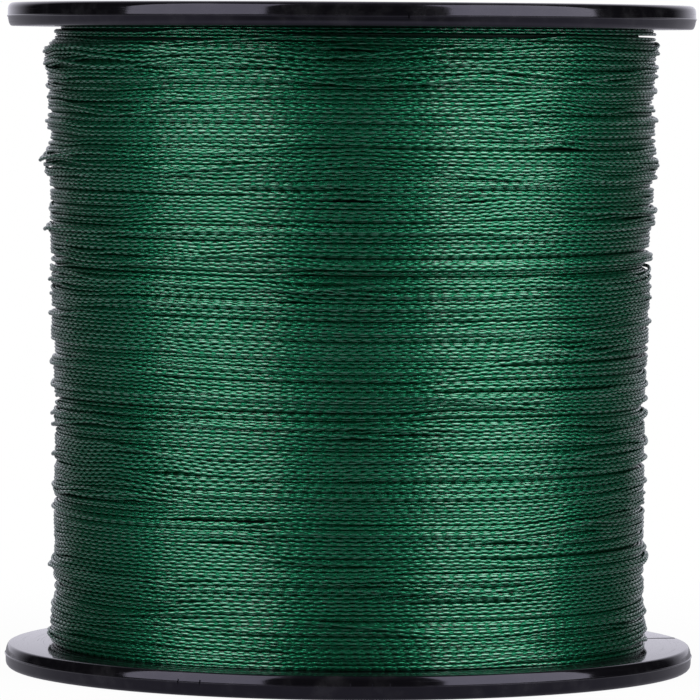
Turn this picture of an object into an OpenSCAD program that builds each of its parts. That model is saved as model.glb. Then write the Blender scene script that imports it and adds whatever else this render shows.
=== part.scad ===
// Bulk spool of braided fishing line.
// Two identical moulded flanges snap into a plain core barrel, which carries the wound line.
// Millimetres, +Z up along the spool's axis, origin at the centre of the lower flange's outer face.

/* [Spool] */
// Diameter of the flanges, over the flash at the parting line
flange_d = 72; // [60:0.5:90]
// Distance between the two flanges, which is the width of the wound line
inner_width = 64.4; // [45:0.1:90]

/* [Flange] */
// Thickness of the flange at its rim
rim_t = 2.45; // [2:0.05:3.5]
// Width of the raised rim ring on the outer face
rim_ring_w = 3; // [2:0.1:4]
// Depth of the label recess in the outer face
recess_depth = 0.85; // [0.4:0.05:1.1]
// How far the hub face lies behind the rim's face
hub_inset = 0.25; // [0.1:0.05:0.4]
// Diameter of the hub face
hub_face_d = 31.2; // [28:0.1:34]
// Height of the parting line above the outer face
parting_h = 1.4; // [1:0.05:1.6]
// How far the flash stands out at the parting line
flash_out = 0.1; // [0.05:0.01:0.15]
// Radius of the rim's outer corner
rim_corner_r = 0.6; // [0.3:0.05:0.9]
// Draft of the outer band, measured at the corner
outer_draft = 0.05; // [0:0.01:0.2]
// Draft of the inner band, measured at the inner face
inner_draft = 0.3; // [0.1:0.05:0.6]
// Radius of the inner face's edge
edge_r = 0.2; // [0.05:0.01:0.3]

/* [Line slit] */
// Width of the slit where it meets the rim
slit_mouth_w = 1; // [0.6:0.1:1.6]
// Width of the slit at its root
slit_root_w = 0.5; // [0.4:0.05:0.6]
// How far the root lies inside the wound line's edge
slit_under_line = 0.4; // [0.2:0.1:1]
// Direction of the lower flange's slit, from +X towards +Y
lower_slit_angle = 12; // [0:1:359]
// Direction of the upper flange's slit, from +X towards +Y
upper_slit_angle = 90; // [0:1:359]

/* [Hub] */
// Diameter of the spindle bore
spindle_d = 10; // [6:0.1:13]
// Wall of the hub boss round the spindle bore
boss_wall = 1.9; // [1.5:0.1:2.5]
// Length of the boss, from the rim's face
boss_len = 12; // [8:0.5:20]
// Chamfer at both mouths of the spindle bore
bore_chamfer = 0.4; // [0.2:0.1:0.8]
// Radial gap between the drive holes and the walls of boss and collar
drive_hole_gap = 0.8; // [0.5:0.1:1]
// Number of drive holes
drive_count = 4; // [2:1:6]
// Thickness of the ribs between boss and collar
rib_t = 1.2; // [0.8:0.1:1.6]
// Height of the ribs above the inner face
rib_h = 5; // [3:0.5:7]

/* [Collar] */
// Length of the collar that enters the barrel
collar_len = 8; // [7:0.5:12]
// Wall of the collar
collar_wall = 1.5; // [1:0.1:1.8]
// Radial clearance between collar and barrel
collar_clear = 0.1; // [0.05:0.01:0.15]
// Lead-in chamfer at the collar's tip
collar_lead = 0.5; // [0.2:0.1:0.8]
// Number of snap lugs
lug_count = 4; // [2:1:6]
// Width of a snap lug
lug_w = 5; // [3:0.5:6]
// Height of a snap lug along the axis
lug_h = 2.2; // [1.5:0.1:2.6]
// How far a snap lug stands out of the collar
lug_out = 1.1; // [0.6:0.1:1.3]
// Distance from the inner face to the snap lugs
lug_start = 3.4; // [2.5:0.1:4]
// Clearance all round a snap lug in its window
lug_clear = 0.15; // [0.1:0.05:0.3]

/* [Barrel] */
// Outer diameter of the core barrel
barrel_d = 31; // [26:0.1:38]
// Wall of the core barrel
barrel_wall = 1.8; // [1.5:0.1:2.5]
// Depth of the ring groove in which the barrel's end is seated
seat_depth = 0.5; // [0.3:0.05:0.8]

/* [Line] */
// Diameter of the braided line
line_d = 0.38; // [0.2:0.01:0.6]
// Radial distance from the rim to the line, near the upper flange
rim_gap_top = 4.4; // [3:0.1:8]
// Radial distance from the rim to the line, at mid height
rim_gap_mid = 4.9; // [3:0.1:8]
// Radial distance from the rim to the line, where the wind is narrowest
rim_gap_low = 5.2; // [3:0.1:8]
// Radial distance from the rim to the last turns that lie on the lower flange
rim_gap_foot = 4.5; // [3:0.1:8]
// How far the last turns are tucked in under the upper flange
tuck_in = 1; // [0:0.1:2]
// Height of the turns that are tucked in or flared out at a flange
end_turns_h = 1.2; // [0.6:0.1:2]

/* [Core tape] */
// Thickness of the cloth tape round the barrel
tape_t = 0.25; // [0.15:0.01:0.4]
// Width of the cloth tape
tape_w = 24; // [12:1:40]

/* [Labels] */
// Thickness of a label
label_t = 0.15; // [0.1:0.01:0.25]
// Radial gap between a label and the wall of its recess
label_gap = 2.4; // [1.5:0.1:3]
// Radial gap between a label and the hub face
label_hub_gap = 0.9; // [0.5:0.1:2]

/* [Hidden] */
$fn = 96;

plastic_black = [0.05, 0.05, 0.055];
barrel_black = [0.12, 0.12, 0.13];
tape_cream = [0.85, 0.80, 0.66];
line_green = [0.04, 0.35, 0.24];
label_white = [0.90, 0.92, 0.90];

cut = 1; // how far a cutting shape runs past the face it cuts
spool_h = inner_width + 2 * rim_t;
flange_r = flange_d / 2;
band_r = flange_r - flash_out;
recess_r = band_r - rim_ring_w;
hub_face_r = hub_face_d / 2;
bore_r = spindle_d / 2;
boss_r = bore_r + boss_wall;

barrel_r = barrel_d / 2;
barrel_bore_r = barrel_r - barrel_wall;
barrel_start = rim_t - seat_depth;
collar_r = barrel_bore_r - collar_clear;
collar_bore_r = collar_r - collar_wall;
drive_pcd = boss_r + collar_bore_r;
drive_hole_d = collar_bore_r - boss_r - 2 * drive_hole_gap;

pack_bottom = rim_t;
pack_top = spool_h - rim_t;
pack_bore_r = barrel_r + tape_t;
slit_root_r = flange_r - rim_gap_top - slit_under_line;

label_r = recess_r - label_gap;
label_hole_r = hub_face_r + label_hub_gap;

// Free end of the line: from the last turn, up through the slit, across the upper label.
line_end_points = [
    [13.4, 28.9, 65.2], [10.9, 29.9, 65.2], [8.2, 30.8, 65.2], [5.6, 31.4, 65.2], [3.2, 31.8, 65.3],
    [1.5, 32.0, 65.6], [0.4, 32.1, 66.1], [0, 32.1, 66.8], [0, 32.1, 67.5], [0, 32.0, 68.2],
    [-0.1, 31.4, 68.8], [-0.6, 30.4, 68.9], [-1.9, 28.9, 68.8], [-3.9, 27.3, 68.8], [-6.5, 25.9, 68.8],
    [-9.4, 24.8, 68.8], [-12.4, 24.1, 68.8], [-15.5, 23.6, 68.8], [-18.5, 22.7, 68.8], [-21.1, 21.2, 68.8],
    [-23.0, 19.0, 68.8]
];
line_end_sides = 8;
rings_between_points = 3;

// Points of an arc about [x, y], in a given number of steps.
function arc(x, y, r, from, to, steps) = [
    for (i = [0:steps]) let (a = from + (to - from) * i / steps) [x + r * cos(a), y + r * sin(a)]
];

// Half section of the flange's disc, from the outer face at 0 to the inner face at rim_t.
disc_section = concat(
    [[0, hub_inset], [hub_face_r, hub_inset], [hub_face_r, recess_depth]],
    [[recess_r, recess_depth], [recess_r, 0]],
    arc(band_r - outer_draft - rim_corner_r, rim_corner_r, rim_corner_r, -90, 0, 6),
    [[band_r, parting_h - flash_out], [flange_r, parting_h], [band_r, parting_h + flash_out]],
    arc(band_r - inner_draft - edge_r, rim_t - edge_r, edge_r, 20, 90, 4),
    [[0, rim_t]]
);

// Half section of the collar with its lead-in.
collar_section = [
    [collar_bore_r, rim_t - seat_depth],
    [collar_r, rim_t - seat_depth],
    [collar_r, rim_t + collar_len - collar_lead],
    [collar_r - collar_lead, rim_t + collar_len],
    [collar_bore_r, rim_t + collar_len]
];

// Half section of the snap lugs: a ramp that faces the collar's tip.
lug_section = [
    [collar_bore_r + collar_wall / 2, rim_t + lug_start],
    [collar_r + lug_out, rim_t + lug_start],
    [collar_r + lug_out, rim_t + lug_start + lug_h / 3],
    [collar_r, rim_t + lug_start + lug_h],
    [collar_bore_r + collar_wall / 2, rim_t + lug_start + lug_h]
];

// A bar of width w that runs out along +X from the axis to radius r.
module spoke(r, w, z, h) {
    translate([0, -w / 2, z]) cube([r, w, h]);
}

module snap_lugs() {
    for (i = [0:lug_count - 1])
        rotate(i * 360 / lug_count)
            intersection() {
                rotate_extrude() polygon(lug_section);
                spoke(barrel_r, lug_w, rim_t, collar_len);
            }
}

module ribs() {
    for (i = [0:drive_count - 1])
        rotate(i * 360 / drive_count)
            difference() {
                spoke(collar_bore_r + collar_wall / 2, rib_t, rim_t - seat_depth, rib_h + seat_depth);
                cylinder(r = bore_r + boss_wall / 2, h = spool_h);
            }
}

module spindle_bore() {
    mouth_r = bore_r + bore_chamfer;
    translate([0, 0, -cut]) cylinder(r = bore_r, h = boss_len + 2 * cut);
    cylinder(r1 = mouth_r, r2 = bore_r, h = bore_chamfer);
    translate([0, 0, boss_len - bore_chamfer]) cylinder(r1 = bore_r, r2 = mouth_r, h = bore_chamfer);
}

module drive_holes() {
    for (i = [0:drive_count - 1])
        rotate((i + 0.5) * 360 / drive_count)
            translate([drive_pcd / 2, 0, -cut])
                cylinder(d = drive_hole_d, h = rim_t + 2 * cut);
}

module line_slit() {
    translate([0, 0, -cut])
        linear_extrude(height = rim_t + 2 * cut)
            polygon([
                [slit_root_r, -slit_root_w / 2], [flange_r + cut, -slit_mouth_w / 2],
                [flange_r + cut, slit_mouth_w / 2], [slit_root_r, slit_root_w / 2]
            ]);
}

// One flange moulding, outer face at 0 and inner face at rim_t.
module flange(slit_angle) {
    color(plastic_black)
        difference() {
            union() {
                difference() {
                    rotate_extrude() polygon(disc_section);
                    translate([0, 0, rim_t - seat_depth])
                        difference() {
                            cylinder(r = barrel_r + collar_clear, h = seat_depth + cut);
                            translate([0, 0, -cut]) cylinder(r = collar_r, h = seat_depth + 3 * cut);
                        }
                }
                rotate_extrude() polygon(collar_section);
                cylinder(r = boss_r, h = boss_len);
                snap_lugs();
                ribs();
            }
            spindle_bore();
            drive_holes();
            rotate(slit_angle) line_slit();
        }
}

// Puts a piece that is drawn on the lower flange on the upper one, turned over.
module on_upper_flange() {
    translate([0, 0, spool_h]) rotate([180, 0, 0]) children();
}

module lower_flange() {
    flange(lower_slit_angle);
}

module upper_flange() {
    on_upper_flange() flange(-upper_slit_angle);
}

// Windows for the snap lugs near the barrel's lower end.
module lug_windows() {
    for (i = [0:lug_count - 1])
        rotate(i * 360 / lug_count)
            spoke(barrel_r + cut, lug_w + 2 * lug_clear, rim_t + lug_start - lug_clear, lug_h + 2 * lug_clear);
}

module core_barrel() {
    color(barrel_black)
        difference() {
            translate([0, 0, barrel_start]) cylinder(r = barrel_r, h = spool_h - 2 * barrel_start);
            cylinder(r = barrel_bore_r, h = spool_h);
            lug_windows();
            on_upper_flange() lug_windows();
        }
}

module core_tape() {
    color(tape_cream)
        translate([0, 0, (spool_h - tape_w) / 2])
            difference() {
                cylinder(r = barrel_r + tape_t, h = tape_w);
                translate([0, 0, -cut]) cylinder(r = barrel_r, h = tape_w + 2 * cut);
            }
}

// The wind: wider near the upper flange, narrowest low down, flared where it meets the lower flange.
module line_pack() {
    color(line_green)
        rotate_extrude()
            polygon([
                [pack_bore_r, pack_bottom],
                [flange_r - rim_gap_foot, pack_bottom],
                [flange_r - rim_gap_foot, pack_bottom + end_turns_h],
                [flange_r - rim_gap_low, pack_bottom + 3 * end_turns_h],
                [flange_r - rim_gap_low, pack_bottom + inner_width * 0.4],
                [flange_r - rim_gap_mid, pack_bottom + inner_width * 0.55],
                [flange_r - rim_gap_top, pack_bottom + inner_width * 0.85],
                [flange_r - rim_gap_top, pack_top - end_turns_h],
                [flange_r - rim_gap_top - tuck_in, pack_top],
                [pack_bore_r, pack_top]
            ]);
}

// A point on the smooth curve through p1 and p2, t of the way along, with p0 and p3 beyond them.
function spline_point(p0, p1, p2, p3, t) =
    0.5 * (2 * p1 + (p2 - p0) * t + (2 * p0 - 5 * p1 + 4 * p2 - p3) * t * t
        + (3 * p1 - p0 - 3 * p2 + p3) * t * t * t);

function smooth_path(p, steps) = let (last = len(p) - 1) concat(
    [for (i = [0:last - 1], k = [0:steps - 1])
        spline_point(p[max(i - 1, 0)], p[i], p[i + 1], p[min(i + 2, last)], k / steps)],
    [p[last]]
);

function unit(v) = v / norm(v);

// Direction of a path at its point i.
function heading(p, i) = unit(p[min(i + 1, len(p) - 1)] - p[max(i - 1, 0)]);

// Ring of points round a path's point, with one side kept towards the spool's axis.
function ring(p, i, r, sides) = let (
    along = heading(p, i),
    across = unit(cross(along, [p[i].x, p[i].y, 20])),
    up = cross(along, across)
) [for (k = [0:sides - 1]) let (a = 360 * k / sides) p[i] + r * (cos(a) * across + sin(a) * up)];

// Closed tube of radius r along a path.
module tube(p, r, sides) {
    rings = len(p);
    points = [for (i = [0:rings - 1]) each ring(p, i, r, sides)];
    walls = [
        for (i = [0:rings - 2], k = [0:sides - 1])
            let (next = (k + 1) % sides)
                [i * sides + k, (i + 1) * sides + k, (i + 1) * sides + next, i * sides + next]
    ];
    start_cap = [[for (k = [0:sides - 1]) k]];
    end_cap = [[for (k = [0:sides - 1]) (rings - 1) * sides + sides - 1 - k]];
    polyhedron(points, concat(walls, start_cap, end_cap));
}

module line_end() {
    color(line_green)
        tube(smooth_path(line_end_points, rings_between_points), line_d / 2, line_end_sides);
}

module label() {
    color(label_white)
        translate([0, 0, recess_depth - label_t])
            difference() {
                cylinder(r = label_r, h = label_t);
                translate([0, 0, -cut]) cylinder(r = label_hole_r, h = label_t + 2 * cut);
            }
}

module lower_label() {
    label();
}

module upper_label() {
    on_upper_flange() label();
}

lower_flange();
upper_flange();
core_barrel();
core_tape();
line_pack();
line_end();
lower_label();
upper_label();
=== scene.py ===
import math

import bpy
import numpy as np
from mathutils import Matrix, Vector


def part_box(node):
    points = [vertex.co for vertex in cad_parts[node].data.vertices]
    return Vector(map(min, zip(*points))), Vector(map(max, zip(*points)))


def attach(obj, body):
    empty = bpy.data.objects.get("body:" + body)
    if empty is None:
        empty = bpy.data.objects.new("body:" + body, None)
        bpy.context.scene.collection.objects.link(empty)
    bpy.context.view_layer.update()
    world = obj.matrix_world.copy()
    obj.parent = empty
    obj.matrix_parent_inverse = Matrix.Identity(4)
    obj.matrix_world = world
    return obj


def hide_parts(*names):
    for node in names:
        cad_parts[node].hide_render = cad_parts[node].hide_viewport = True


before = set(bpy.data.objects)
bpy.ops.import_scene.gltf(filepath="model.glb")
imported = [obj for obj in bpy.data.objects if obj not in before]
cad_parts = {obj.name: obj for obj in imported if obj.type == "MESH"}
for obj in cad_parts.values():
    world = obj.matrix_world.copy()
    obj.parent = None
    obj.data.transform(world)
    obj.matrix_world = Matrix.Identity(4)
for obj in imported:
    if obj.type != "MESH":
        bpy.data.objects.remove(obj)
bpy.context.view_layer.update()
print("frame loaded")

mm = 0.001

# Sizes that the frame already holds, in millimetres
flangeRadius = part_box("lower_flange")[1].x / mm
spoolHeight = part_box("upper_flange")[1].z / mm
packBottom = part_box("line_pack")[0].z / mm
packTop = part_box("line_pack")[1].z / mm
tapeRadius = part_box("core_tape")[1].x / mm
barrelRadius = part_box("core_barrel")[1].x / mm

# Braided line, in millimetres. Its sides swell and shrink by a share of its radius.
lineSizes = {"diameter": 0.38, "braidPeriod": 1.36, "swell": 0.22}

# Place and lens in millimetres, angles in radians, clipping in metres
cameraView = {
    "distance": 654.84,
    "height": 63.97,
    "downTilt": 0.04699,
    "roll": 0.006,
    "lens": 322.1,
    "clip": (0.05, 20),
}


def addCamera(settings):
    data = bpy.data.cameras.new("camera")
    data.lens = settings["lens"]
    data.clip_start, data.clip_end = settings["clip"]
    camera = bpy.data.objects.new("camera", data)
    place = Matrix.Translation((0, -settings["distance"] * mm, settings["height"] * mm))
    tilt = Matrix.Rotation(math.pi / 2 - settings["downTilt"], 4, "X")
    camera.matrix_world = place @ tilt @ Matrix.Rotation(settings["roll"], 4, "Z")
    bpy.context.scene.collection.objects.link(camera)
    bpy.context.scene.camera = camera


addCamera(cameraView)

# The bake map gives each turn of line a row of its own. These shares of the row stay free along its edges.
bakeRow = {"endGap": 0.004, "sideGap": 0.04}


def writeMesh(name, points, corners, counts, maps):
    mesh = bpy.data.meshes.new(name)
    mesh.vertices.add(len(points))
    mesh.vertices.foreach_set("co", points.astype(np.float32).ravel())
    mesh.loops.add(len(corners))
    mesh.loops.foreach_set("vertex_index", corners.astype(np.int32))
    mesh.polygons.add(len(counts))
    starts = np.concatenate([[0], np.cumsum(counts)[:-1]])
    mesh.polygons.foreach_set("loop_start", starts.astype(np.int32))
    mesh.update(calc_edges=True)
    mesh.polygons.foreach_set("use_smooth", np.ones(len(counts), bool))
    for mapName, values in maps.items():
        layer = mesh.uv_layers.new(name=mapName)
        layer.data.foreach_set("uv", values.astype(np.float32).ravel())
    mesh.validate()
    piece = bpy.data.objects.new(name, mesh)
    bpy.context.scene.collection.objects.link(piece)
    return piece


def unitRows(rows):
    return rows / np.linalg.norm(rows, axis=1, keepdims=True)


def cornerMap(across, up):
    return np.stack([np.stack(corner, 1) for corner in zip(across, up)], 1)


# A closed tube along a centre line, all in metres. Its sides swell and shrink as the four strands cross.
def makeTube(name, centres, outward, sideAngles, periods, roll, sheet):
    sides = len(sideAngles)
    count = len(centres)
    along = unitRows(np.gradient(centres, axis=0))
    first = unitRows(outward - along * (outward * along).sum(1, keepdims=True))
    second = np.cross(along, first)
    theta = np.radians(sideAngles)
    around = sideAngles / 360
    pattern = np.cos(2 * np.pi * periods)[:, None] * np.cos(4 * np.pi * (around[None, :] + roll[:, None]))
    radius = lineSizes["diameter"] / 2 * mm * (1 - lineSizes["swell"] * pattern)
    firstPart = first[:, None, :] * np.cos(theta)[None, :, None]
    secondPart = second[:, None, :] * np.sin(theta)[None, :, None]
    points = (centres[:, None, :] + (firstPart + secondPart) * radius[:, :, None]).reshape(-1, 3)

    ring, side = np.meshgrid(np.arange(count - 1), np.arange(sides), indexing="ij")
    ring, side = ring.ravel(), side.ravel()
    nextSide = (side + 1) % sides
    quads = np.stack([ring * sides + side, ring * sides + nextSide,
                      (ring + 1) * sides + nextSide, (ring + 1) * sides + side], 1)
    fromAround = around[side]
    toAround = np.where(nextSide == 0, 1 + around[0], around[nextSide])
    base = np.floor(periods[ring])
    before = periods[ring] - base
    after = periods[ring + 1] - base
    strandMap = cornerMap((before, before, after, after),
                          (fromAround + roll[ring], toAround + roll[ring],
                           toAround + roll[ring + 1], fromAround + roll[ring + 1]))
    column, row, rows = sheet
    endGap = bakeRow["endGap"]
    here = endGap + (1 - 2 * endGap) * column[ring]
    ahead = endGap + (1 - 2 * endGap) * (column[ring] + (column[ring + 1] - column[ring]) % 1)
    sideGap = bakeRow["sideGap"]
    low = (row[ring] + sideGap + (1 - 2 * sideGap) * fromAround) / rows
    high = (row[ring] + sideGap + (1 - 2 * sideGap) * toAround) / rows
    bakeMap = cornerMap((here, here, ahead, ahead), (low, high, high, low))
    startCap = np.arange(sides)[::-1]
    endCap = (count - 1) * sides + np.arange(sides)
    corners = np.concatenate([quads.ravel(), startCap, endCap])
    counts = np.concatenate([np.full(len(quads), 4), [sides, sides]])
    capMap = np.zeros((2 * sides, 2))
    maps = {"OFBake": np.concatenate([bakeMap.reshape(-1, 2), capMap]),
            "strands": np.concatenate([strandMap.reshape(-1, 2), capMap])}
    return writeMesh(name, points, corners, counts, maps)


# The line's free end: route in millimetres, length in metres. "lift" turns its first side up, in metres.
lineEnd = {
    "route": [
        (13.4, 28.9, 65.2), (10.9, 29.9, 65.2), (8.2, 30.8, 65.2), (5.6, 31.4, 65.2), (3.2, 31.8, 65.3),
        (1.5, 32.0, 65.6), (0.4, 32.1, 66.1), (0, 32.1, 66.8), (0, 32.1, 67.5), (0, 32.0, 68.2),
        (-0.1, 31.4, 68.8), (-0.6, 30.4, 68.9), (-1.9, 28.9, 68.8), (-3.9, 27.3, 68.8), (-6.5, 25.9, 68.8),
        (-9.4, 24.8, 68.8), (-12.4, 24.1, 68.8), (-15.5, 23.6, 68.8), (-18.5, 22.7, 68.8),
        (-21.1, 21.2, 68.8), (-23.0, 19.0, 68.8)],
    "length": 0.044,
    "sides": 12,
    "ringsPerPoint": 12,
    "lift": 0.02,
    "mapEnd": 0.999,
}


def smoothRoute(points, steps):
    knots = np.array(points, float)
    padded = np.vstack([knots[:1], knots, knots[-1:]])
    t = (np.arange(steps) / steps)[:, None]
    pieces = []
    for i in range(len(knots) - 1):
        a, b, c, d = padded[i:i + 4]
        pieces.append(0.5 * (2 * b + (c - a) * t + (2 * a - 5 * b + 4 * c - d) * t**2
                             + (3 * b - a - 3 * c + d) * t**3))
    return np.vstack(pieces + [knots[-1:]])


def arcLength(points):
    return np.concatenate([[0], np.cumsum(np.linalg.norm(np.diff(points, axis=0), axis=1))])


def makeLineEnd(settings):
    route = smoothRoute(settings["route"], settings["ringsPerPoint"]) * mm
    outward = route * np.array([1, 1, 0]) + np.array([0, 0, settings["lift"]])
    periods = arcLength(route) / (lineSizes["braidPeriod"] * mm)
    angles = np.arange(settings["sides"]) * 360 / settings["sides"]
    column = np.linspace(0, settings["mapEnd"], len(route))
    zeros = np.zeros(len(route))
    piece = makeTube("line_end_free", route, outward, angles, periods, zeros, (column, zeros, 1))
    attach(piece, "root")
    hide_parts("line_end")
    return piece


lineEndPiece = makeLineEnd(lineEnd)
print("line end made")

# Two tall softboxes, each (from angle, to angle, strength) in degrees from the front, a pale world and a
# pale floor. Reaches are in metres from the spool's axis, floorLevel is in millimetres.
studio = {
    "boxDistance": 0.9,
    "boxBottom": 0.02,
    "boxTop": 1.5,
    "left": (-79, -28, 2.55),
    "right": (32, 87, 2.95),
    "white": (1, 1, 1, 1),
    "coolTone": (0.88, 0.865, 0.97, 1),
    "roomTone": 0.01,
    "backdrop": (0.69, 1.0),
    "ceiling": (0.55, 0.85),
    "ceilingTone": 0.1,
    "leastReach": 0.001,
    "floorSize": 12,
    "floorLevel": -0.02,
    "floorColour": (0.9, 0.9, 0.9, 1),
    "floorFill": 0.13,
    "shadowReach": (0.03, 0.12),
    "shadowShare": 0.035,
    "glossReach": (0.07, 0.12),
    "floorGloss": (0.34, 0.62),
    "farReach": (0.11, 0.22),
    "frontPart": (0.65, 0.95),
    "farGloss": (0.65, 0.15),
}


def addSoftbox(name, settings, box):
    fromAngle, toAngle, radiance = box
    middle = math.radians((fromAngle + toAngle) / 2)
    away = Vector((math.sin(middle), -math.cos(middle), 0))
    width = 2 * settings["boxDistance"] * math.tan(math.radians((toAngle - fromAngle) / 2))
    height = settings["boxTop"] - settings["boxBottom"]
    centre = Vector((0, 0, (settings["boxTop"] + settings["boxBottom"]) / 2))
    data = bpy.data.lights.new(name, "AREA")
    data.shape = "RECTANGLE"
    data.size = width
    data.size_y = height
    data.energy = radiance * math.pi * width * height
    lamp = bpy.data.objects.new(name, data)
    lamp.location = away * settings["boxDistance"] + centre
    lamp.rotation_mode = "QUATERNION"
    lamp.rotation_quaternion = (-away).to_track_quat("-Z", "Y")
    lamp.visible_camera = False
    bpy.context.scene.collection.objects.link(lamp)


def put(tree, kind, **settings):
    node = tree.nodes.new("ShaderNode" + kind)
    for name, value in settings.items():
        setattr(node, name, value)
    return node


def feed(tree, socket, value):
    if isinstance(value, bpy.types.NodeSocket):
        tree.links.new(value, socket)
    else:
        socket.default_value = value


def feedAll(tree, node, values):
    for name, value in values.items():
        feed(tree, node.inputs[name], value)


# Puts a node and feeds its first sockets in turn
def work(tree, kind, values, **settings):
    node = put(tree, kind, **settings)
    for socket, value in zip(node.inputs, values):
        feed(tree, socket, value)
    return node.outputs[0]


def calc(tree, operation, *values):
    return work(tree, "Math", values, operation=operation)


def times(tree, first, second):
    return calc(tree, "MULTIPLY", first, second)


def ramp(tree, value, fromLow, fromHigh, toLow=0.0, toHigh=1.0, kind="SMOOTHSTEP"):
    values = (value, fromLow, fromHigh, toLow, toHigh)
    return work(tree, "MapRange", values, interpolation_type=kind)


def mixShaders(tree, factor, first, second):
    return work(tree, "MixShader", (factor, first, second))


def mixColour(tree, factor, first, second):
    node = put(tree, "Mix", data_type="RGBA")
    feed(tree, node.inputs[0], factor)
    feed(tree, node.inputs[6], first)
    feed(tree, node.inputs[7], second)
    return node.outputs[2]


def splitXyz(tree, vector):
    node = put(tree, "SeparateXYZ")
    feed(tree, node.inputs[0], vector)
    return list(node.outputs)


def stretch(tree, values, scales):
    scaled = [times(tree, value, scale) for value, scale in zip(values, scales)]
    return work(tree, "CombineXYZ", scaled)


def flatLength(tree, x, y):
    squares = calc(tree, "ADD", times(tree, x, x), times(tree, y, y))
    return calc(tree, "SQRT", squares)


def noise(tree, vector, scale, detail=2.0, roughness=0.5):
    node = put(tree, "TexNoise")
    feedAll(tree, node, {"Vector": vector, "Scale": scale, "Detail": detail, "Roughness": roughness})
    return node.outputs[0]


def objectPlace(tree):
    return put(tree, "TexCoord").outputs["Object"]


# White for the eye and in reflections of the backdrop, but a dim room for the light
def buildWorld(settings):
    world = bpy.data.worlds.new("studio")
    bpy.context.scene.world = world
    world.use_nodes = True
    tree = world.node_tree
    tree.nodes.clear()
    x, y, z = splitXyz(tree, put(tree, "TexCoord").outputs["Generated"])
    behind = calc(tree, "DIVIDE", y, calc(tree, "MAXIMUM", flatLength(tree, x, y), settings["leastReach"]))
    backdrop = ramp(tree, behind, *settings["backdrop"])
    ceiling = ramp(tree, z, *settings["ceiling"])
    wall = ramp(tree, backdrop, 0, 1, settings["roomTone"], 1, "LINEAR")
    lit = calc(tree, "ADD", times(tree, wall, calc(tree, "SUBTRACT", 1, ceiling)),
               times(tree, settings["ceilingTone"], ceiling))
    path = put(tree, "LightPath")
    seen = calc(tree, "MAXIMUM", path.outputs["Is Camera Ray"], path.outputs["Is Transmission Ray"])
    mirrored = times(tree, path.outputs["Is Glossy Ray"], backdrop)
    strength = calc(tree, "MAXIMUM", lit, calc(tree, "MAXIMUM", seen, mirrored))
    tone = mixColour(tree, seen, settings["coolTone"], settings["white"])
    light = work(tree, "Background", (tone, strength))
    feed(tree, put(tree, "OutputWorld").inputs[0], light)


# White for the eye, with a soft contact shadow close to the spool, and clear when seen from below
def floorMaterial(settings):
    material = bpy.data.materials.new("paleFloor")
    material.use_nodes = True
    tree = material.node_tree
    tree.nodes.clear()
    x, y = splitXyz(tree, objectPlace(tree))[:2]
    reach = flatLength(tree, x, y)
    near = ramp(tree, reach, *settings["shadowReach"], settings["shadowShare"], 0.0)
    path = put(tree, "LightPath")
    straight = calc(tree, "MAXIMUM", path.outputs["Is Camera Ray"], path.outputs["Is Transmission Ray"])
    front = calc(tree, "DIVIDE", times(tree, y, -1),
                 calc(tree, "MAXIMUM", reach, settings["leastReach"]))
    far = ramp(tree, front, *settings["frontPart"], *settings["farGloss"])
    gloss = times(tree, ramp(tree, reach, *settings["glossReach"], *settings["floorGloss"]),
                  ramp(tree, reach, *settings["farReach"], 1.0, far))
    mirrored = times(tree, path.outputs["Is Glossy Ray"], gloss)
    seen = calc(tree, "MAXIMUM", straight, mirrored)
    tone = mixColour(tree, straight, settings["coolTone"], settings["white"])
    glow = work(tree, "Emission", (tone, calc(tree, "MAXIMUM", seen, settings["floorFill"])))
    matt = work(tree, "BsdfDiffuse", (settings["floorColour"],))
    above = mixShaders(tree, near, glow, matt)
    backfacing = put(tree, "NewGeometry").outputs["Backfacing"]
    fromBelow = times(tree, backfacing, path.outputs["Is Camera Ray"])
    shown = mixShaders(tree, fromBelow, above, put(tree, "BsdfTransparent").outputs[0])
    feed(tree, put(tree, "OutputMaterial").inputs[0], shown)
    return material


def addFloor(settings):
    bpy.ops.mesh.primitive_plane_add(size=settings["floorSize"], location=(0, 0, settings["floorLevel"] * mm))
    floor = bpy.context.object
    floor.name = "floor"
    floor.data.materials.append(floorMaterial(settings))


def setStudio(settings):
    addSoftbox("leftBox", settings, settings["left"])
    addSoftbox("rightBox", settings, settings["right"])
    buildWorld(settings)
    addFloor(settings)
    bpy.context.scene.view_settings.view_transform = "Standard"


setStudio(studio)
print("studio set")


def startGroup(name, inputs, outputs):
    tree = bpy.data.node_groups.new(name, "ShaderNodeTree")
    for socketName, kind in inputs:
        tree.interface.new_socket(name=socketName, in_out="INPUT", socket_type=kind)
    for socketName, kind in outputs:
        tree.interface.new_socket(name=socketName, in_out="OUTPUT", socket_type=kind)
    return tree, tree.nodes.new("NodeGroupInput"), tree.nodes.new("NodeGroupOutput")


# Strands dive under each other by this power. Their fibres are noise stretched along and across the strand.
strandShape = {"dive": 3, "fibres": (1.3, 11, 1)}


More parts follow.
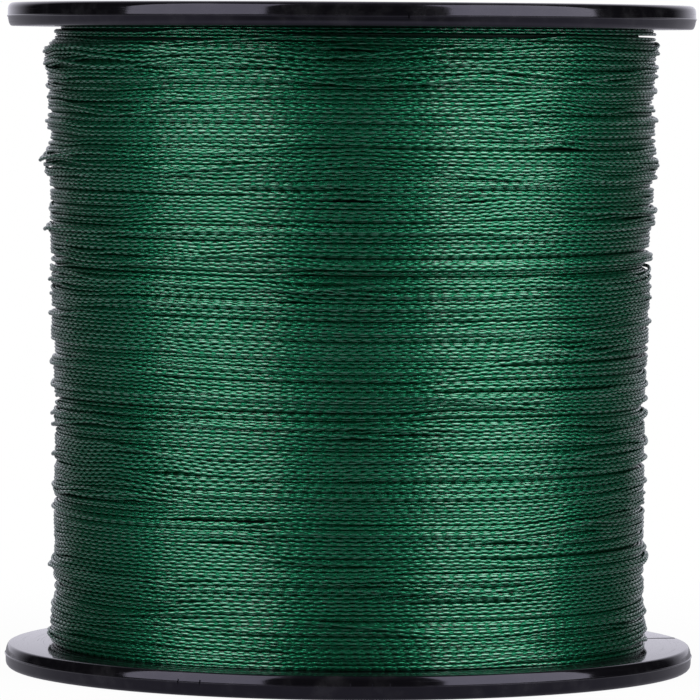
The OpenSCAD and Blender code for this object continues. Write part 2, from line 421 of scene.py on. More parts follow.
# Four strands plaited round a line. The pattern's x counts plait periods and its y turns round the line.
def buildStrandGroup(shape):
    tree, start, end = startGroup(
        "plaitedStrands", [("Pattern", "NodeSocketVector")],
        [("Height", "NodeSocketFloat"), ("Fibre", "NodeSocketFloat")])
    period, turns = splitXyz(tree, start.outputs["Pattern"])[:2]
    twice = times(tree, turns, 2)
    rising = calc(tree, "SUBTRACT", twice, period)
    falling = calc(tree, "ADD", twice, period)
    risingPart = calc(tree, "FRACT", rising)
    fallingPart = calc(tree, "FRACT", falling)
    cells = calc(tree, "ADD", calc(tree, "FLOOR", rising), calc(tree, "FLOOR", falling))
    over = calc(tree, "FLOORED_MODULO", cells, 2)
    across = calc(tree, "ADD", times(tree, risingPart, calc(tree, "SUBTRACT", 1, over)),
                  times(tree, fallingPart, over))
    along = calc(tree, "SUBTRACT", calc(tree, "ADD", risingPart, fallingPart), across)
    fromMiddle = calc(tree, "MULTIPLY_ADD", across, 2, -1)
    fromCrown = calc(tree, "MULTIPLY_ADD", along, 2, -1)
    squareLeft = calc(tree, "SUBTRACT", 1, times(tree, fromMiddle, fromMiddle))
    roundTop = calc(tree, "SQRT", calc(tree, "MAXIMUM", squareLeft, 0.0))
    dive = calc(tree, "SUBTRACT", 1, calc(tree, "POWER", calc(tree, "ABSOLUTE", fromCrown), shape["dive"]))
    feed(tree, end.inputs["Height"], times(tree, roundTop, dive))
    streaks = noise(tree, stretch(tree, (along, across, cells), shape["fibres"]), 1.0)
    feed(tree, end.inputs["Fibre"], streaks)
    return tree


# Radius and height in millimetres and angle in radians, about the spool's axis
def buildTurnedGroup():
    tree, start, end = startGroup(
        "turnedPlace", [("Place", "NodeSocketVector")],
        [("Radius", "NodeSocketFloat"), ("Angle", "NodeSocketFloat"), ("Height", "NodeSocketFloat")])
    x, y, z = splitXyz(tree, start.outputs["Place"])
    feed(tree, end.inputs["Radius"], times(tree, flatLength(tree, x, y), 1 / mm))
    feed(tree, end.inputs["Angle"], calc(tree, "ARCTAN2", y, x))
    feed(tree, end.inputs["Height"], times(tree, z, 1 / mm))
    return tree


strandGroup = buildStrandGroup(strandShape)
turnedGroup = buildTurnedGroup()


def startMaterial(name):
    material = bpy.data.materials.new(name)
    material.use_nodes = True
    tree = material.node_tree
    return material, tree, tree.nodes["Principled BSDF"]


def placeGroup(tree, group, vector, outputs):
    node = put(tree, "Group", node_tree=group)
    feed(tree, node.inputs[0], vector)
    return [node.outputs[name] for name in outputs]


def turnedPlace(tree):
    return placeGroup(tree, turnedGroup, objectPlace(tree), ("Radius", "Angle", "Height"))


def bump(tree, height, distance):
    node = put(tree, "Bump")
    feedAll(tree, node, {"Height": height, "Distance": distance * mm, "Strength": 1.0})
    return node.outputs[0]


# The line's finish. A step is where a soft ramp starts and ends, and strandDepth is in millimetres.
# Its colour holds painted shade and a painted highlight: darker down into the grooves between strands, paler
# on their crests.
lineLook = {
    "paintedHighlight": (0.022, 0.245, 0.13, 1),
    "flank": (0.01, 0.19, 0.085, 1),
    "groove": (0.001, 0.055, 0.024, 1),
    "grooveShadeStep": (0.02, 0.4),
    "paintedHighlightStep": (0.35, 0.85),
    "lightness": (0.6, 1.45),
    "patches": (350, 350, 2600),
    "patchShare": 0.6,
    "fibreShade": 0.35,
    "metallic": 0.87,
    "edgeTint": (0.3, 0.27, 0.3, 1),
    "fibreStep": (0.3, 0.7),
    "roughness": (0.21, 0.34),
    "coatStep": (0.14, 0.95),
    "glintStep": (0.35, 0.62),
    "dullestCoat": 0.45,
    "coatRoughness": 0.1,
    "coatIor": 1.9,
    "strandDepth": 0.05,
    "fibreShare": 0.12,
}


def lineMaterial(name, look):
    material, tree, shader = startMaterial(name)
    pattern = put(tree, "UVMap", uv_map="strands")
    height, fibre = placeGroup(tree, strandGroup, pattern.outputs[0], ("Height", "Fibre"))
    drift = noise(tree, stretch(tree, splitXyz(tree, objectPlace(tree)), look["patches"]), 1.0)
    shade = times(tree, fibre, look["fibreShade"])
    lightness = calc(tree, "MULTIPLY_ADD", drift, look["patchShare"], shade)
    # Painted highlight: the crests' paler colour, varied at random along the line
    dull, bright = ([channel * share for channel in look["paintedHighlight"][:3]] + [1] for share in look["lightness"])
    paintedHighlight = mixColour(tree, lightness, dull, bright)
    # Painted shade: the flanks darken towards the grooves where the strands dip
    side = mixColour(tree, ramp(tree, height, *look["grooveShadeStep"]), look["groove"], look["flank"])
    glint = ramp(tree, drift, *look["glintStep"], look["dullestCoat"], 1.0)
    relief = calc(tree, "MULTIPLY_ADD", fibre, look["fibreShare"], height)
    feedAll(tree, shader, {
        "Base Color": mixColour(tree, ramp(tree, height, *look["paintedHighlightStep"]), side, paintedHighlight),
        "Roughness": ramp(tree, fibre, *look["fibreStep"], *look["roughness"]),
        "Metallic": look["metallic"],
        "Specular Tint": look["edgeTint"],
        "Coat Weight": times(tree, ramp(tree, height, *look["coatStep"]), glint),
        "Coat Roughness": look["coatRoughness"],
        "Coat IOR": look["coatIor"],
        "Normal": bump(tree, relief, look["strandDepth"])})
    return material


lineFinish = lineMaterial("braidedLine", lineLook)
lineEndPiece.data.materials.append(lineFinish)

# A corner whose half angle is over "straight" degrees gets no fillet. Points nearer to each other than
# "merge" millimetres become one.
lathe = {"straight": 88, "merge": 0.0005}


def dropSelection():
    if bpy.context.object and bpy.context.object.mode != "OBJECT":
        bpy.ops.object.mode_set(mode="OBJECT")
    bpy.ops.object.select_all(action="DESELECT")


# Corners are (radius, height, fillet) in millimetres; each fillet becomes a short arc.
def filletOutline(corners, steps):
    outline = []
    for i, (radius, height, fillet) in enumerate(corners):
        here = Vector((radius, height))
        back = (Vector(corners[i - 1][:2]) - here).normalized()
        ahead = (Vector(corners[(i + 1) % len(corners)][:2]) - here).normalized()
        half = math.acos(max(-1, min(1, back.dot(ahead)))) / 2
        if fillet == 0 or half > math.radians(lathe["straight"]):
            outline.append(here)
            continue
        reach = fillet / math.tan(half)
        centre = here + (back + ahead).normalized() * fillet / math.sin(half)
        start = here + back * reach - centre
        sweep = (here + ahead * reach - centre).angle_signed(start)
        for k in range(steps + 1):
            outline.append(centre + Matrix.Rotation(sweep * k / steps, 2) @ start)
    return outline


def turnOnLathe(name, outline, steps):
    dropSelection()
    bpy.ops.mesh.primitive_plane_add(size=mm, location=(0, 0, 0))
    piece = bpy.context.object
    piece.name = name
    piece.data.name = name
    bpy.ops.object.mode_set(mode="EDIT")
    bpy.ops.mesh.select_all(action="SELECT")
    bpy.ops.mesh.merge(type="CENTER")
    last = Vector((0, 0))
    for i, point in enumerate(outline + outline[:1]):
        step = ((point.x - last.x) * mm, 0, (point.y - last.y) * mm)
        if i == 0:
            bpy.ops.transform.translate(value=step)
        else:
            bpy.ops.mesh.extrude_region_move(TRANSFORM_OT_translate={"value": step})
        last = point
    bpy.ops.mesh.select_all(action="SELECT")
    bpy.ops.mesh.spin(steps=steps, angle=2 * math.pi, center=(0, 0, 0), axis=(0, 0, 1))
    bpy.ops.mesh.select_all(action="SELECT")
    bpy.ops.mesh.remove_doubles(threshold=lathe["merge"] * mm)
    bpy.ops.mesh.normals_make_consistent(inside=False)
    bpy.ops.object.mode_set(mode="OBJECT")
    return piece


def combine(piece, tools, operation):
    dropSelection()
    for tool in tools:
        piece.select_set(True)
        bpy.context.view_layer.objects.active = piece
        bpy.ops.object.modifier_add(type="BOOLEAN")
        modifier = piece.modifiers[-1]
        modifier.operation = operation
        modifier.solver = "EXACT"
        modifier.object = tool
        bpy.ops.object.modifier_apply(modifier=modifier.name)
        bpy.data.objects.remove(tool)


def addBlock(size, place, angle=0.0, bevel=0.0):
    dropSelection()
    bpy.ops.mesh.primitive_cube_add(size=1, location=Vector(place) * mm)
    block = bpy.context.object
    block.scale = Vector(size) * mm
    bpy.ops.object.transform_apply(location=True, rotation=False, scale=True)
    if bevel:
        bpy.ops.object.mode_set(mode="EDIT")
        bpy.ops.mesh.select_all(action="SELECT")
        bpy.ops.mesh.bevel(offset=bevel * mm, segments=2)
        bpy.ops.object.mode_set(mode="OBJECT")
    block.rotation_euler.z = angle
    bpy.ops.object.transform_apply(location=False, rotation=True, scale=False)
    return block


def addPin(radius, length, place, sides):
    dropSelection()
    bpy.ops.mesh.primitive_cylinder_add(
        vertices=sides, radius=radius * mm, depth=length * mm, location=Vector(place) * mm)
    pin = bpy.context.object
    bpy.ops.object.transform_apply(location=True, rotation=False, scale=False)
    return pin


def smoothShade(piece, angle):
    dropSelection()
    piece.select_set(True)
    bpy.context.view_layer.objects.active = piece
    bpy.ops.object.shade_smooth_by_angle(angle=math.radians(angle))


# Turns a piece of the spool's lower half over, to be the same piece of its upper half
def turnOver(piece):
    piece.data.transform(Matrix.Translation((0, 0, spoolHeight * mm)) @ Matrix.Rotation(math.pi, 4, "X"))


# The flanges, in millimetres and degrees, with heights counted from the outer face. The crown is (height,
# depth, fillet), a lug (width, reach, height) and a nick (degrees from the front, width). The slit is
# (width at its root, width at its mouth). A "through" cutter is that many times as long as the rim is thick.
flange = {
    "rim": packBottom,
    "rimRing": 3.0,
    "recess": 0.85,
    "hubInset": 0.25,
    "hubFace": 15.6,
    "parting": 1.4,
    "flash": 0.1,
    "rimCorner": 0.6,
    "outerDraft": 0.05,
    "innerDraft": 0.3,
    "innerCrown": (0.5, 0.09, 1.5),
    "edge": 0.28,
    "bore": 5.0,
    "chamfer": 0.4,
    "bossWall": 1.9,
    "bossLength": 12.0,
    "collarOut": 13.6,
    "collarWall": 1.5,
    "collarLength": 8.0,
    "collarLead": 0.5,
    "seatDepth": 0.5,
    "seatGap": 0.1,
    "fillets": {"bore": 0.08, "tip": 0.15, "hubFoot": 0.06, "hubFace": 0.12, "hubEdge": 0.1, "recess": 0.12,
                "rimInside": 0.2, "flash": 0.03, "seat": 0.05, "lead": 0.1, "pocket": 0.3},
    "driveHole": 1.8,
    "driveCount": 4,
    "driveThrough": 4,
    "ribWidth": 1.2,
    "ribHeight": 5.0,
    "ribSink": 1,
    "ribBevel": 0.15,
    "lug": (5.0, 1.1, 2.2),
    "lugStart": 3.4,
    "lugSink": 0.8,
    "lugTop": 0.05,
    "slitRoot": flangeRadius - 4.8,
    "slitWidths": (0.5, 1.0),
    "slitMargin": 1,
    "slitThrough": 3,
    "rootFacing": -0.9,
    "lowerSlit": 12,
    "upperSlit": 90,
    "lowerNicks": ((-28.2, 0.14), (-24.3, 0.18), (6.7, 0.1), (0.4, 0.08), (3.9, 0.07)),
    "upperNicks": ((63.0, 0.12), (171.0, 0.15)),
    "nickHeight": 0.6,
    "nickDepth": 0.5,
    "nickOut": 0.1,
    "touch": 0.01,
    "arcSteps": 4,
    "spinSteps": 360,
    "pinSides": 48,
    "smoothBelow": 32,
}


def flangeOutline(sizes):
    bore = sizes["bore"]
    chamfer = sizes["chamfer"]
    boreEdge = bore + chamfer
    boss = bore + sizes["bossWall"]
    bossTip = sizes["bossLength"]
    hubFace = sizes["hubFace"]
    hubInset = sizes["hubInset"]
    recess = sizes["recess"]
    flash = sizes["flash"]
    band = flangeRadius - flash
    recessRadius = band - sizes["rimRing"]
    parting = sizes["parting"]
    inner = sizes["rim"]
    seat = inner - sizes["seatDepth"]
    seatRadius = barrelRadius + sizes["seatGap"]
    collarOut = sizes["collarOut"]
    collarIn = collarOut - sizes["collarWall"]
    lead = sizes["collarLead"]
    tip = inner + sizes["collarLength"]
    crownUp, crownIn, crownFillet = sizes["innerCrown"]
    fillet = sizes["fillets"]
    corners = [
        (boreEdge, 0, fillet["bore"]), (boss, 0, fillet["tip"]), (boss, hubInset, fillet["hubFoot"]),
        (hubFace, hubInset, fillet["hubFace"]), (hubFace, recess, fillet["hubEdge"]),
        (recessRadius, recess, fillet["recess"]), (recessRadius, 0, fillet["rimInside"]),
        (band - sizes["outerDraft"], 0, sizes["rimCorner"]),
        (band, parting - flash, fillet["flash"]), (flangeRadius, parting, fillet["flash"]),
        (band, parting + flash, fillet["flash"]),
        (band - crownIn, parting + flash + crownUp, crownFillet),
        (band - sizes["innerDraft"], inner, sizes["edge"]),
        (seatRadius, inner, fillet["seat"]), (seatRadius, seat, fillet["seat"]),
        (collarOut, seat, fillet["seat"]),
        (collarOut, tip - lead, fillet["lead"]), (collarOut - lead, tip, fillet["lead"]),
        (collarIn, tip, fillet["tip"]), (collarIn, inner, fillet["pocket"]), (boss, inner, fillet["pocket"]),
        (boss, bossTip, fillet["tip"]), (boreEdge, bossTip, fillet["bore"]),
        (bore, bossTip - chamfer, fillet["bore"]), (bore, chamfer, fillet["bore"])]
    return filletOutline(corners, sizes["arcSteps"])


def onCircle(angle, radius):
    return radius * math.cos(angle), radius * math.sin(angle)


# A rib between the boss and the collar, sunk a little into both and into the floor
def addRib(sizes, angle, boss, collarIn):
    sink = sizes["ribSink"]
    size = (collarIn - boss + sink, sizes["ribWidth"], sizes["ribHeight"] + sink)
    rib = addBlock(size, (0, 0, 0), angle, sizes["ribBevel"])
    x, y = onCircle(angle, (collarIn + boss) / 2)
    middle = sizes["rim"] + (sizes["ribHeight"] - sink) / 2
    rib.data.transform(Matrix.Translation(Vector((x, y, middle)) * mm))
    return rib


# A snap lug outside the collar. Its outer face slopes back to the collar at the top.
def addLug(sizes, angle):
    width, out, tall = sizes["lug"]
    sink = sizes["lugSink"]
    collarOut = sizes["collarOut"]
    low = sizes["rim"] + sizes["lugStart"]
    lug = addBlock((out + sink, width, tall), (collarOut + (out - sink) / 2, 0, low + tall / 2))
    for vertex in lug.data.vertices:
        atTop = vertex.co.z > (low + tall - sizes["touch"]) * mm
        if atTop and vertex.co.x > (collarOut + out / 2) * mm:
            vertex.co.x = (collarOut + sizes["lugTop"]) * mm
    lug.data.transform(Matrix.Rotation(angle, 4, "Z"))
    return lug


# The slit that holds the line's end. The end face that looks at the axis is its narrower root.
def slitCutter(sizes, slitAngle):
    reach = flangeRadius + sizes["slitMargin"] - sizes["slitRoot"]
    rootWidth, width = sizes["slitWidths"]
    place = (sizes["slitRoot"] + reach / 2, 0, sizes["rim"] / 2)
    cutter = addBlock((reach, width, sizes["rim"] * sizes["slitThrough"]), place)
    bpy.ops.object.mode_set(mode="EDIT")
    bpy.ops.mesh.select_all(action="DESELECT")
    bpy.ops.object.mode_set(mode="OBJECT")
    for face in cutter.data.polygons:
        face.select = face.normal.x < sizes["rootFacing"]
    bpy.ops.object.mode_set(mode="EDIT")
    bpy.ops.transform.resize(value=(1, rootWidth / width, 1))
    bpy.ops.object.mode_set(mode="OBJECT")
    cutter.rotation_euler.z = math.radians(slitAngle)
    bpy.ops.object.transform_apply(location=False, rotation=True, scale=False)
    return cutter


def nickCutter(sizes, bearing, width):
    size = (sizes["nickDepth"], width, sizes["nickHeight"])
    nick = addBlock(size, (flangeRadius + sizes["nickOut"], 0, sizes["parting"]))
    nick.data.transform(Matrix.Rotation(math.radians(bearing - 90), 4, "Z"))
    return nick


def makeFlange(name, sizes, slitAngle, nicks, flipped):
    piece = turnOnLathe(name, flangeOutline(sizes), sizes["spinSteps"])
    boss = sizes["bore"] + sizes["bossWall"]
    collarIn = sizes["collarOut"] - sizes["collarWall"]
    additions = []
    for i in range(sizes["driveCount"]):
        angle = i * 2 * math.pi / sizes["driveCount"]
        additions.append(addRib(sizes, angle, boss, collarIn))
        additions.append(addLug(sizes, angle))
    combine(piece, additions, "UNION")
    cutters = [slitCutter(sizes, slitAngle)]
    for i in range(sizes["driveCount"]):
        x, y = onCircle((i + 0.5) * 2 * math.pi / sizes["driveCount"], (collarIn + boss) / 2)
        length = sizes["rim"] * sizes["driveThrough"]
        cutters.append(addPin(sizes["driveHole"], length, (x, y, sizes["rim"] / 2), sizes["pinSides"]))
    for bearing, width in nicks:
        cutters.append(nickCutter(sizes, bearing, width))
    combine(piece, cutters, "DIFFERENCE")
    if flipped:
        turnOver(piece)
    smoothShade(piece, sizes["smoothBelow"])
    return piece


# Noises are (scale, detail, roughness), relief is in millimetres. Hairlines run round the spool, stretched by
# radius, angle and height.
plasticLook = {
    "colour": (0.0045, 0.0042, 0.0055, 1),
    "worn": (0.02, 0.0195, 0.022, 1),
    "hairlines": (6, 2.5, 9),
    "hairlineNoise": (1.0, 3.0, 0.6),
    "waveNoise": (90.0, 1.0),
    "grimeNoise": (400.0, 4.0, 0.6),
    "grimeStep": (0.45, 0.8),
    "scuffStep": (0.55, 0.75),
    "roughness": (0.09, 0.25),
    "specularTint": (0.8, 0.76, 1.0, 1),
    "ior": 1.5,
    "hairlineShare": 0.12,
    "relief": 0.01,
}


def plasticMaterial(name, look):
    material, tree, shader = startMaterial(name)
    hairlines = noise(tree, stretch(tree, turnedPlace(tree), look["hairlines"]), *look["hairlineNoise"])
    wave = noise(tree, objectPlace(tree), *look["waveNoise"])
    grime = noise(tree, objectPlace(tree), *look["grimeNoise"])
    colour = mixColour(tree, ramp(tree, grime, *look["grimeStep"]), look["colour"], look["worn"])
    relief = calc(tree, "ADD", times(tree, hairlines, look["hairlineShare"]), wave)
    feedAll(tree, shader, {
        "Base Color": colour,
        "Roughness": ramp(tree, hairlines, *look["scuffStep"], *look["roughness"]),
        "Specular Tint": look["specularTint"],
        "IOR": look["ior"],
        "Normal": bump(tree, relief, look["relief"])})
    return material


def addFlanges():
    finish = plasticMaterial("glossPlastic", plasticLook)
    lower = makeFlange("flange_lower", flange, flange["lowerSlit"], flange["lowerNicks"], False)
    upper = makeFlange("flange_upper", flange, -flange["upperSlit"], flange["upperNicks"], True)
    for piece, node in ((lower, "lower_flange"), (upper, "upper_flange")):
        piece.data.materials.clear()
        piece.data.materials.append(finish)
        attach(piece, "root")
        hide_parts(node)
        print(piece.name, len(piece.data.vertices), "vertices")


addFlanges()
print("flanges made")

# The wound line, in millimetres and, round the spool, in turns or degrees. The profile is (height, radius).
# A drift is (spacing, amount), a roll (turns, spacing, amount), a warp (height of a wave, waves round,
# amount) and a hump (direction, spread, height, spread, amount).
wind = {
    "profile": ((packBottom, 31.5), (3.6, 31.4), (6.0, 30.75), (28, 30.75), (33, 31.05), (45, 31.3),
                (56, 31.6), (65.4, 31.6), (66.3, 31.2), (packTop, 30.5)),
    "depth": 0.95,
    "samplesPerTurn": 256,
    "gridStep": 0.02,
    "gridMargin": 20,
    "reach": 3,
    "hold": 1.1,
    "steepest": 0.03,
    "wander": ((1.7, 0.27), (0.9, 0.33), (0.3, 0.08), (0.1, 0.04)),
    "warp": ((3.0, 12, 0.03), (5.0, 9, 0.06), (9.0, 5, 0.15)),
    "warpFade": 4,
    "plaitDrift": (16, 0.35),
    "plaitRoll": (0.125, 110, 0.07),
    "uneven": ((1.3, 0.025), (3.5, 0.035)),
    "lumps": 14,
    "lumpWidths": (0.6, 2.5),
    "lumpWaves": 5,
    "lumpHeight": 0.1,
    "humps": ((0, 40, 66.8, 1.6, 1.2),),
    "layers": (
        {"from": 66.5, "to": 2.75, "pitch": 0.42},
        {"from": 2.75, "to": 66.5, "pitch": 0.42},
        {"from": 2.75, "to": 65.2, "pitch": 0.405}),
    "heightSmoothing": 7,
    "radiusSmoothing": 5,
    "joinTurns": 0.09,
    "ringsPerPeriod": (0.5, 1.0, 4.0),
    "sideAngles": (0, 50, 100, 180, 260, 310),
    "ringsPerPiece": 16400,
    "seed": 7,
}
draw = np.random.default_rng(wind["seed"])
plaitDraw = np.random.default_rng(wind["seed"] + 1)


def blendFrom(x, i):
    return (1 - np.cos(np.pi * (x - i))) / 2


def driftAlong(count, spacing, amount, closed=False, source=draw):
    knots = max(int(round(count / spacing)), 3)
    values = source.normal(0, amount, knots)
    values = np.append(values, values[:1] if closed else source.normal(0, amount, 1))
    x = np.arange(count) * knots / count
    i = np.minimum(x.astype(int), knots - 1)
    blend = blendFrom(x, i)
    return values[i] * (1 - blend) + values[i + 1] * blend


# The outside of the line already wound, as a radius for each step round and each step up
def baseSurface(settings, heights, samples, startAngle):
    knownHeight, knownRadius = zip(*settings["profile"])
    level = np.interp(heights, knownHeight, knownRadius) - settings["depth"]
    count = len(heights)
    for spacing, amount in settings["uneven"]:
        level = level + driftAlong(count, spacing / settings["gridStep"], amount)
    surface = np.repeat(level[None, :], samples, axis=0)
    for lump in range(settings["lumps"]):
        centre = draw.integers(0, count)
        width = draw.uniform(*settings["lumpWidths"]) / settings["gridStep"]
        hump = np.exp(-((np.arange(count) - centre) / width) ** 2)
        swell = driftAlong(samples, samples / settings["lumpWaves"], settings["lumpHeight"], True)
        surface += swell[:, None] * hump[None, :]
    bearing = math.degrees(startAngle) + np.arange(samples) * 360 / samples
    for direction, spread, height, tall, amount in settings["humps"]:
        aside = (bearing - direction + 180) % 360 - 180
        upward = np.exp(-((heights - height) / tall) ** 2)
        surface += amount * np.outer(np.exp(-(aside / spread) ** 2), upward)
    return surface


# Lays line turn by turn: at each step it slides to the lowest place near its guide.
def layLine(settings, surface, heights, layer):
    samples, step = settings["samplesPerTurn"], settings["gridStep"]
    lineRadius = lineSizes["diameter"] / 2
    half = int(lineRadius / step)
    offsets = np.arange(-half, half + 1)
    cap = np.sqrt(lineRadius**2 - (offsets * step) ** 2)
    turns = int(round(abs(layer["to"] - layer["from"]) / layer["pitch"]))
    total = turns * samples
    guide = np.linspace(layer["from"], layer["to"], total)
    for spacing, amount in settings["wander"]:
        guide = guide + driftAlong(total, samples * spacing, amount)
    low = int(np.ceil((packBottom + lineRadius - heights[0]) / step))
    high = int((packTop - lineRadius - heights[0]) / step)
    wanted = np.clip((guide - heights[0]) / step, low, high)
    reach = settings["reach"]
    choices = np.arange(-reach, reach + 1)
    windows = choices[:, None] + reach + half + offsets[None, :]
    pull = settings["hold"] * step * step
    steepest = settings["steepest"]
    place = int(wanted[0])
    cells = np.empty(total, int)
    radii = np.empty(total)
    for turn in range(turns):
        first = turn * samples
        for i in range(samples):
            k = first + i
            start = min(max(place, low + reach), high - reach)
            strip = surface[i, start - reach - half:start + reach + half + 1]
            rest = (strip[windows] + cap).max(1)
            cost = rest + pull * (start + choices - wanted[k]) ** 2
            best = int(cost.argmin())
            place = start + best - reach
            cells[k] = place
            radii[k] = rest[best]
        lift = radii[first:first + samples]
        if turn:
            lift[0] = max(lift[0], radii[first - 1] - steepest)
        for i in range(1, samples):
            lift[i] = max(lift[i], lift[i - 1] - steepest)
        for i in range(samples - 2, -1, -1):
            lift[i] = max(lift[i], lift[i + 1] - steepest)
        rows = np.arange(samples)[:, None]
        columns = cells[first:first + samples][:, None] + offsets[None, :]
        surface[rows, columns] = np.maximum(surface[rows, columns], lift[:, None] + cap[None, :])
    return heights[0] + cells * step, radii


def smoothRun(values, width):
    kernel = np.hanning(width + 2)[1:-1]
    padded = np.pad(values, width // 2, mode="edge")
    return np.convolve(padded, kernel / kernel.sum(), mode="valid")


# A gentle sideways drift that neighbouring turns share, so that groups of turns run aslant
def warpField(settings, heights, samples):
    count = len(heights)
    step = settings["gridStep"]
    field = np.zeros((samples, count))
    for across, around, amount in settings["warp"]:
        knots = int(count * step / across) + 2
        grid = draw.normal(0, amount, (around, knots))
        upward = np.arange(count) * step / across
        fine = np.stack([np.interp(upward, np.arange(knots), row) for row in grid])
        x = np.arange(samples) * around / samples
        i = x.astype(int)
        blend = blendFrom(x, i)[:, None]
        field += fine[i] * (1 - blend) + fine[(i + 1) % around] * blend
    ends = np.clip(np.minimum(heights - packBottom, packTop - heights) / settings["warpFade"], 0, 1)
    return field * ends[None, :]


def layerPath(settings, z, r, samples, field, heights, startAngle):
    z = smoothRun(z, settings["heightSmoothing"])
    r = smoothRun(r, settings["radiusSmoothing"])
    rows = np.arange(len(z)) % samples
    columns = np.clip(((z - heights[0]) / settings["gridStep"]).astype(int), 0, len(heights) - 1)
    z = z + smoothRun(field[rows, columns], settings["heightSmoothing"])
    edge = lineSizes["diameter"] / 2
    z = np.clip(z, packBottom + edge, packTop - edge)
    angle = startAngle + np.arange(len(z)) * 2 * np.pi / samples
    return angle, z, r


# Leads the last stretch of the outer layer to where the line's free end begins
def meetLineEnd(settings, angle, z, r, samples):
    x, y, height = lineEnd["route"][0]
    span = samples * settings["joinTurns"]
    fade = np.clip((np.arange(len(z)) - (len(z) - span)) / (span - 1), 0, 1)
    fade = fade * fade * (3 - 2 * fade)
    z = z * (1 - fade) + height * fade
    r = r * (1 - fade) + math.hypot(x, y) * fade
    return angle, z, r


# Where a layer's rings lie: at even steps of a plait whose period drifts along the line
def ringPlaces(settings, path, perPeriod):
    angle, z, r = path
    points = np.stack([r * np.cos(angle), r * np.sin(angle), z], 1) * mm
    length = arcLength(points)
    spacing = lineSizes["braidPeriod"] * mm / perPeriod
    fine = np.linspace(0, length[-1], int(length[-1] / spacing) + 1)
    driftRun, driftAmount = settings["plaitDrift"]
    plait = fine / (lineSizes["braidPeriod"] * mm)
    plait = plait + driftAlong(len(fine), driftRun * mm / spacing, driftAmount, source=plaitDraw)
    count = int((plait[-1] - plait[0]) * perPeriod) + 1
    periods = plait[0] + np.arange(count) / perPeriod
    periods[-1] = plait[-1]
    at = np.interp(periods, plait, fine)
    angleAt = np.interp(at, length, angle)
    zAt = np.interp(at, length, z) * mm
    rAt = np.interp(at, length, r) * mm
    centres = np.stack([rAt * np.cos(angleAt), rAt * np.sin(angleAt), zAt], 1)
    outward = np.stack([np.cos(angleAt), np.sin(angleAt), np.zeros(count)], 1)
    rollTurns, rollRun, rollAmount = settings["plaitRoll"]
    roll = rollTurns + driftAlong(count, rollRun * mm / spacing, rollAmount)
    return centres, outward, periods, roll, (angleAt - angleAt[0]) / (2 * np.pi)


def addLayer(name, settings, path, perPeriod, finish):
    centres, outward, periods, roll, turnsDone = ringPlaces(settings, path, perPeriod)
    sides = np.array(settings["sideAngles"], float)
    count = len(centres)
    pieces = math.ceil(count / settings["ringsPerPiece"])
    bounds = np.linspace(0, count - 1, pieces + 1).astype(int)
    made = []
    for i in range(pieces):
        part = slice(bounds[i], bounds[i + 1] + 1)
        turn = turnsDone[part]
        row = np.floor(turn) - np.floor(turn[0])
        sheet = (turn % 1, row, row[-1] + 1)
        pieceName = f"{name}_{i + 1}" if pieces > 1 else name
        piece = makeTube(pieceName, centres[part], outward[part], sides, periods[part], roll[part], sheet)
        piece.data.materials.append(finish)
        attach(piece, "root")
        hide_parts("line_pack")
        made.append(piece)
    return made


# The closed ring that stands for the line further in, in millimetres. Its colours are painted shade, far
# darker than the line, in faint bands.
backing = {
    "depth": 1.35,
    "spinSteps": 128,
    "smoothBelow": 40,
    "bandPitch": 0.4,
    "colours": ((0.001, 0.012, 0.008, 1), (0.002, 0.05, 0.03, 1)),
    "roughness": 0.6,
    "relief": 0.1,
}


def backingMaterial(look):
    material, tree, shader = startMaterial("deepLineShade")
    height = turnedPlace(tree)[2]
    bands = calc(tree, "SINE", times(tree, height, 2 * math.pi / look["bandPitch"]))
    # Painted shade: both colours are far darker than the line's own green
    feedAll(tree, shader, {
        "Base Color": mixColour(tree, ramp(tree, bands, -1, 1), *look["colours"]),
        "Roughness": look["roughness"],
        "Normal": bump(tree, bands, look["relief"])})
    return material


def addBacking(settings, profile):
    finish = backingMaterial(settings)
    inside = [(r - settings["depth"], z) for z, r in profile]
    corners = [(tapeRadius, packBottom), *inside, (tapeRadius, packTop)]
    piece = turnOnLathe("wound_core", [Vector(corner) for corner in corners], settings["spinSteps"])
    piece.data.materials.append(finish)
    smoothShade(piece, settings["smoothBelow"])
    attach(piece, "root")
    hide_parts("line_pack")


def windLine(settings):
    samples = settings["samplesPerTurn"]
    margin = settings["gridMargin"]
    count = int(round((packTop - packBottom) / settings["gridStep"])) + 1 + 2 * margin
    heights = packBottom + (np.arange(count) - margin) * settings["gridStep"]
    startAngle = math.atan2(lineEnd["route"][0][1], lineEnd["route"][0][0])
    surface = baseSurface(settings, heights, samples, startAngle)
    field = warpField(settings, heights, samples)
    addBacking(backing, settings["profile"])
    for i, layer in enumerate(settings["layers"]):
        z, r = layLine(settings, surface, heights, layer)
        path = layerPath(settings, z, r, samples, field, heights, startAngle)
        if i == len(settings["layers"]) - 1:
            path = meetLineEnd(settings, *path, samples)
        made = addLayer(f"line_layer_{i + 1}", settings, path, settings["ringsPerPeriod"][i], lineFinish)
        faces = sum(len(piece.data.polygons) for piece in made)
        print("layer", i + 1, "laid in", len(made), "pieces,", faces, "faces")


windLine(wind)

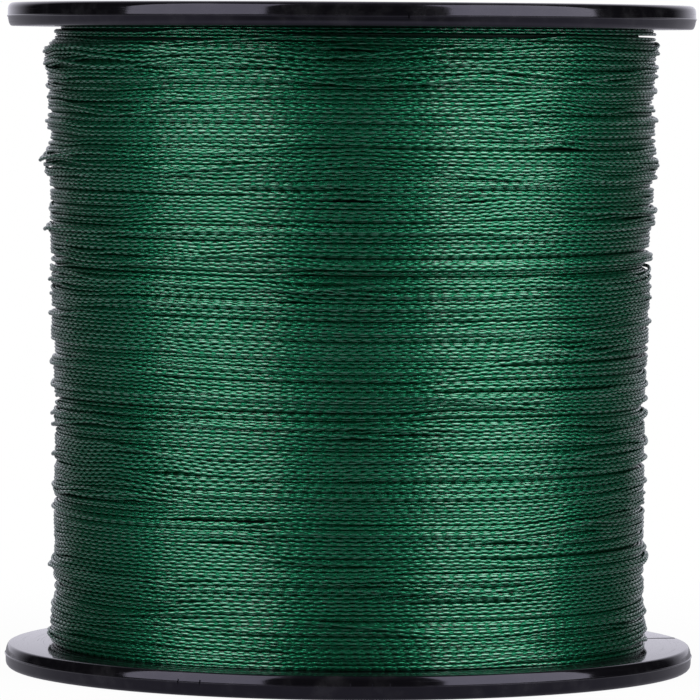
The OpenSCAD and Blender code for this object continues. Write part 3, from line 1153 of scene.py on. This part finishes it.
# The paper labels, in millimetres. A ring is (inner radius, outer radius, soft edge).
label = {
    "outer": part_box("lower_label")[1].x / mm,
    "hole": 16.5,
    "thickness": 0.15,
    "bottom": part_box("lower_label")[0].z / mm,
    "edge": 0.03,
    "arcSteps": 2,
    "spinSteps": 180,
    "smoothBelow": 40,
    "fibreNoise": (2500.0, 4.0, 0.65),
    "swellNoise": (120.0, 1.0),
    "paper": ((0.74, 0.75, 0.72, 1), (0.86, 0.86, 0.84, 1)),
    "bandRing": (25.95, 29.35, 0.1),
    "bandColour": (0.01, 0.11, 0.06, 1),
    "tickRing": (23.95, 25.2, 0.05),
    "tickCount": 36,
    "tickShare": 0.06,
    "thinRing": (18.4, 18.75, 0.05),
    "ink": (0.03, 0.03, 0.035, 1),
    "fibreStep": (0.3, 0.7),
    "roughness": (0.38, 0.52),
    "fibreShare": 0.1,
    "relief": 0.06,
}


# 1 inside a ring about the axis and 0 outside it
def ringMask(tree, radius, inner, outer, softEdge):
    return times(tree, ramp(tree, radius, inner, inner + softEdge),
                 ramp(tree, radius, outer, outer + softEdge, 1, 0))


def labelMaterial(look):
    material, tree, shader = startMaterial("labelPaper")
    radius, angle = turnedPlace(tree)[:2]
    fibres = noise(tree, objectPlace(tree), *look["fibreNoise"])
    band = ringMask(tree, radius, *look["bandRing"])
    ticksAt = calc(tree, "FRACT", times(tree, angle, look["tickCount"] / (2 * math.pi)))
    tick = times(tree, calc(tree, "LESS_THAN", ticksAt, look["tickShare"]),
                 ringMask(tree, radius, *look["tickRing"]))
    thin = ringMask(tree, radius, *look["thinRing"])
    colour = mixColour(tree, band, mixColour(tree, fibres, *look["paper"]), look["bandColour"])
    swell = noise(tree, objectPlace(tree), *look["swellNoise"])
    relief = calc(tree, "MULTIPLY_ADD", fibres, look["fibreShare"], swell)
    feedAll(tree, shader, {
        "Base Color": mixColour(tree, calc(tree, "MAXIMUM", tick, thin), colour, look["ink"]),
        "Roughness": ramp(tree, fibres, *look["fibreStep"], *look["roughness"]),
        "Normal": bump(tree, relief, look["relief"])})
    return material


def addLabels(settings):
    finish = labelMaterial(settings)
    hole, outer, edge = settings["hole"], settings["outer"], settings["edge"]
    low = settings["bottom"]
    high = low + settings["thickness"]
    middle = (outer + hole) / 2
    corners = [(hole, low, edge), (middle, low, 0), (outer, low, edge), (outer, high, edge),
               (middle, high, 0), (hole, high, edge)]
    for name, node, flipped in (("label_lower", "lower_label", False), ("label_upper", "upper_label", True)):
        piece = turnOnLathe(name, filletOutline(corners, settings["arcSteps"]), settings["spinSteps"])
        if flipped:
            turnOver(piece)
        piece.data.materials.append(finish)
        smoothShade(piece, settings["smoothBelow"])
        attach(piece, "root")
        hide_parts(node)


addLabels(label)
print("labels made")

# The moulded core barrel's matt finish, with relief in millimetres
barrelLook = {
    "grainNoise": (3000.0, 3.0),
    "patchNoise": (60.0, 3.0),
    "colours": ((0.014, 0.014, 0.016, 1), (0.028, 0.028, 0.03, 1)),
    "patchStep": (0.3, 0.7),
    "roughness": (0.42, 0.56),
    "relief": 0.03,
}

# The cloth tape's weave: threads per radian round the core, and row pitch and relief in millimetres. Its
# darker colour is painted shade where the weave sinks.
tapeLook = {
    "threads": 250,
    "rowPitch": 0.4,
    "colours": ((0.5, 0.45, 0.33, 1), (0.76, 0.7, 0.54, 1)),
    "roughness": 0.85,
    "relief": 0.05,
}


def barrelMaterial(look):
    material, tree, shader = startMaterial("mattPlastic")
    grain = noise(tree, objectPlace(tree), *look["grainNoise"])
    patches = noise(tree, objectPlace(tree), *look["patchNoise"])
    feedAll(tree, shader, {
        "Base Color": mixColour(tree, patches, *look["colours"]),
        "Roughness": ramp(tree, patches, *look["patchStep"], *look["roughness"]),
        "Normal": bump(tree, grain, look["relief"])})
    return material


def tapeMaterial(look):
    material, tree, shader = startMaterial("clothTape")
    angle, height = turnedPlace(tree)[1:]
    warp = calc(tree, "SINE", times(tree, angle, look["threads"]))
    weft = calc(tree, "SINE", times(tree, height, 2 * math.pi / look["rowPitch"]))
    weave = times(tree, warp, weft)
    # Painted shade: the colour darkens where the weave's relief sinks
    feedAll(tree, shader, {
        "Base Color": mixColour(tree, ramp(tree, weave, -1, 1), *look["colours"]),
        "Roughness": look["roughness"],
        "Normal": bump(tree, weave, look["relief"])})
    return material


def finishCore():
    finishes = {"core_barrel": barrelMaterial(barrelLook), "core_tape": tapeMaterial(tapeLook)}
    for node, material in finishes.items():
        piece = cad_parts[node]
        if not piece.material_slots:
            piece.data.materials.append(material)
        for place in piece.material_slots:
            place.material = material


finishCore()
print("core finished")
